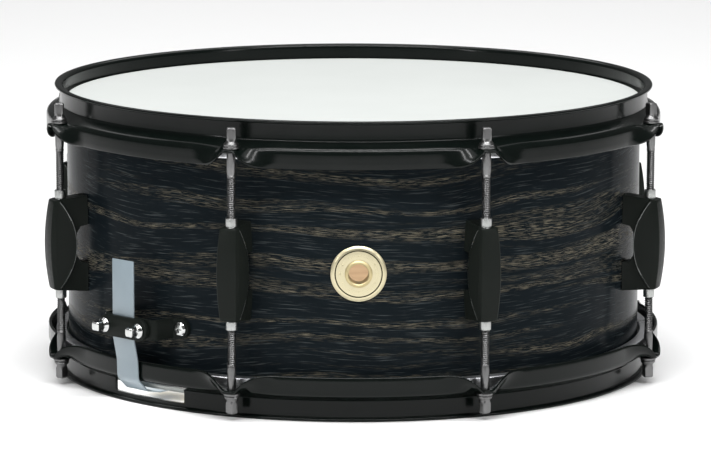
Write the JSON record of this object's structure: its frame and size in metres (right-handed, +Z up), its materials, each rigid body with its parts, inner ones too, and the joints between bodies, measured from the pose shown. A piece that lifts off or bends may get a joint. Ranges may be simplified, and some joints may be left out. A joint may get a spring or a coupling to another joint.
{
  "type": "snare drum",
  "caption": "Cylindrical wooden snare drum with pressed metal hoops, bridge lugs, tension rods, a lever throw-off, a butt end and coiled snare wires under the lower head.",
  "frame": {"origin": "centre of the circle on which the lower hoop stands", "axes": "+Z up along the drum axis, towards the batter head; -Y towards the badge; +X to the right seen from the badge side"},
  "size_m": [0.3808, 0.3808, 0.1774],
  "materials": {
    "stained_oak": "open-grained oak stained blue-black, with tan filler in the grain and a satin lacquer",
    "hoop_black_gloss": "pressed steel in gloss black",
    "coated_film": "white coated polyester film",
    "snare_side_film": "thin hazy polyester film",
    "flesh_hoop_aluminium": "drawn aluminium channel",
    "satin_black": "die casting in satin black",
    "black_nickel": "black nickel plate on steel",
    "chrome": "polished chrome plate on steel",
    "badge_gold": "pale gold plated brass, brushed",
    "grommet_gold": "yellow gold plate",
    "strap_plastic": "translucent grey-blue polyester strip",
    "snare_wire_steel": "coiled steel wire",
    "end_plate_steel": "plated steel"
  },
  "bodies": {
    "drum_body": {"badge": "badge_gold", "batter_flesh_hoop": "flesh_hoop_aluminium", "batter_head": "coated_film", "batter_hoop": "hoop_black_gloss", "butt_bracket": "satin_black", "butt_clamp_plate": "satin_black", "butt_clamp_screw_1": "chrome", "butt_clamp_screw_2": "chrome", "butt_mount_screw_1": "chrome", "butt_mount_screw_2": "chrome", "butt_strap": "strap_plastic", "lever_pivot_screw_1": "chrome", "lever_pivot_screw_2": "chrome", "lug_1": "satin_black", "lug_2": "satin_black", "lug_3": "satin_black", "lug_4": "satin_black", "lug_5": "satin_black", "lug_6": "satin_black", "lug_7": "satin_black", "lug_8": "satin_black", "shell": "stained_oak", "snare_side_flesh_hoop": "flesh_hoop_aluminium", "snare_side_head": "snare_side_film", "snare_side_hoop": "hoop_black_gloss", "strainer_base": "satin_black", "strainer_mount_screw_1": "chrome", "strainer_mount_screw_2": "chrome", "vent_grommet": "grommet_gold"},
    "batter_tension_rod_1": {"batter_tension_rod_1": "black_nickel"},
    "batter_tension_rod_2": {"batter_tension_rod_2": "black_nickel"},
    "batter_tension_rod_3": {"batter_tension_rod_3": "black_nickel"},
    "batter_tension_rod_4": {"batter_tension_rod_4": "black_nickel"},
    "batter_tension_rod_5": {"batter_tension_rod_5": "black_nickel"},
    "batter_tension_rod_6": {"batter_tension_rod_6": "black_nickel"},
    "batter_tension_rod_7": {"batter_tension_rod_7": "black_nickel"},
    "batter_tension_rod_8": {"batter_tension_rod_8": "black_nickel"},
    "snare_tension_rod_1": {"snare_tension_rod_1": "black_nickel"},
    "snare_tension_rod_2": {"snare_tension_rod_2": "black_nickel"},
    "snare_tension_rod_3": {"snare_tension_rod_3": "black_nickel"},
    "snare_tension_rod_4": {"snare_tension_rod_4": "black_nickel"},
    "snare_tension_rod_5": {"snare_tension_rod_5": "black_nickel"},
    "snare_tension_rod_6": {"snare_tension_rod_6": "black_nickel"},
    "snare_tension_rod_7": {"snare_tension_rod_7": "black_nickel"},
    "snare_tension_rod_8": {"snare_tension_rod_8": "black_nickel"},
    "throw_off_lever": {"throw_off_lever": "satin_black"},
    "strainer_slide": {"strainer_slide": "satin_black", "strainer_clamp_plate": "satin_black", "strainer_clamp_screw_1": "chrome", "strainer_clamp_screw_2": "chrome", "strainer_strap": "strap_plastic"},
    "tension_knob": {"tension_knob": "black_nickel"},
    "snare_wires": {"snare_wires": "snare_wire_steel", "snare_end_plate_butt": "end_plate_steel", "snare_end_plate_strainer": "end_plate_steel"}
  },
  "joints": [
    {"name": "batter_rod_1_turn", "type": "hinge", "parent": "drum_body", "child": "batter_tension_rod_1", "pos_m": [0.07409, -0.17886, 0.1287], "axis": [0, 0, 1], "continuous": true},
    {"name": "batter_rod_2_turn", "type": "hinge", "parent": "drum_body", "child": "batter_tension_rod_2", "pos_m": [0.17886, -0.07409, 0.1287], "axis": [0, 0, 1], "continuous": true},
    {"name": "batter_rod_3_turn", "type": "hinge", "parent": "drum_body", "child": "batter_tension_rod_3", "pos_m": [0.17886, 0.07409, 0.1287], "axis": [0, 0, 1], "continuous": true},
    {"name": "batter_rod_4_turn", "type": "hinge", "parent": "drum_body", "child": "batter_tension_rod_4", "pos_m": [0.07409, 0.17886, 0.1287], "axis": [0, 0, 1], "continuous": true},
    {"name": "batter_rod_5_turn", "type": "hinge", "parent": "drum_body", "child": "batter_tension_rod_5", "pos_m": [-0.07409, 0.17886, 0.1287], "axis": [0, 0, 1], "continuous": true},
    {"name": "batter_rod_6_turn", "type": "hinge", "parent": "drum_body", "child": "batter_tension_rod_6", "pos_m": [-0.17886, 0.07409, 0.1287], "axis": [0, 0, 1], "continuous": true},
    {"name": "batter_rod_7_turn", "type": "hinge", "parent": "drum_body", "child": "batter_tension_rod_7", "pos_m": [-0.17886, -0.07409, 0.1287], "axis": [0, 0, 1], "continuous": true},
    {"name": "batter_rod_8_turn", "type": "hinge", "parent": "drum_body", "child": "batter_tension_rod_8", "pos_m": [-0.07409, -0.17886, 0.1287], "axis": [0, 0, 1], "continuous": true},
    {"name": "snare_rod_1_turn", "type": "hinge", "parent": "drum_body", "child": "snare_tension_rod_1", "pos_m": [0.07409, -0.17886, 0.0487], "axis": [0, 0, 1], "continuous": true},
    {"name": "snare_rod_2_turn", "type": "hinge", "parent": "drum_body", "child": "snare_tension_rod_2", "pos_m": [0.17886, -0.07409, 0.0487], "axis": [0, 0, 1], "continuous": true},
    {"name": "snare_rod_3_turn", "type": "hinge", "parent": "drum_body", "child": "snare_tension_rod_3", "pos_m": [0.17886, 0.07409, 0.0487], "axis": [0, 0, 1], "continuous": true},
    {"name": "snare_rod_4_turn", "type": "hinge", "parent": "drum_body", "child": "snare_tension_rod_4", "pos_m": [0.07409, 0.17886, 0.0487], "axis": [0, 0, 1], "continuous": true},
    {"name": "snare_rod_5_turn", "type": "hinge", "parent": "drum_body", "child": "snare_tension_rod_5", "pos_m": [-0.07409, 0.17886, 0.0487], "axis": [0, 0, 1], "continuous": true},
    {"name": "snare_rod_6_turn", "type": "hinge", "parent": "drum_body", "child": "snare_tension_rod_6", "pos_m": [-0.17886, 0.07409, 0.0487], "axis": [0, 0, 1], "continuous": true},
    {"name": "snare_rod_7_turn", "type": "hinge", "parent": "drum_body", "child": "snare_tension_rod_7", "pos_m": [-0.17886, -0.07409, 0.0487], "axis": [0, 0, 1], "continuous": true},
    {"name": "snare_rod_8_turn", "type": "hinge", "parent": "drum_body", "child": "snare_tension_rod_8", "pos_m": [-0.07409, -0.17886, 0.0487], "axis": [0, 0, 1], "continuous": true},
    {"name": "throw_off_lever_swing", "type": "hinge", "parent": "drum_body", "child": "throw_off_lever", "pos_m": [0.13387, 0.13623, 0.0907], "axis": [-0.7133, 0.7009, 0], "range_deg": [0, 85]},
    {"name": "strainer_slide_drop", "type": "slide", "parent": "drum_body", "child": "strainer_slide", "axis": [0, 0, -1], "range_m": [0, 0.00265]},
    {"name": "tension_knob_turn", "type": "hinge", "parent": "strainer_slide", "child": "tension_knob", "pos_m": [0.13387, 0.13623, 0.1047], "axis": [0, 0, 1], "continuous": true},
    {"name": "snare_wires_drop", "type": "hinge", "parent": "drum_body", "child": "snare_wires", "pos_m": [-0.11004, -0.11198, 0.0081], "axis": [-0.7133, 0.7009, 0], "range_deg": [0, 0.472]}
  ],
  "couplings": [
    {"joint": "strainer_slide_drop", "follows": "throw_off_lever_swing", "m_per_rad": 0.001753},
    {"joint": "snare_wires_drop", "follows": "throw_off_lever_swing", "ratio": 0.005443}
  ]
}
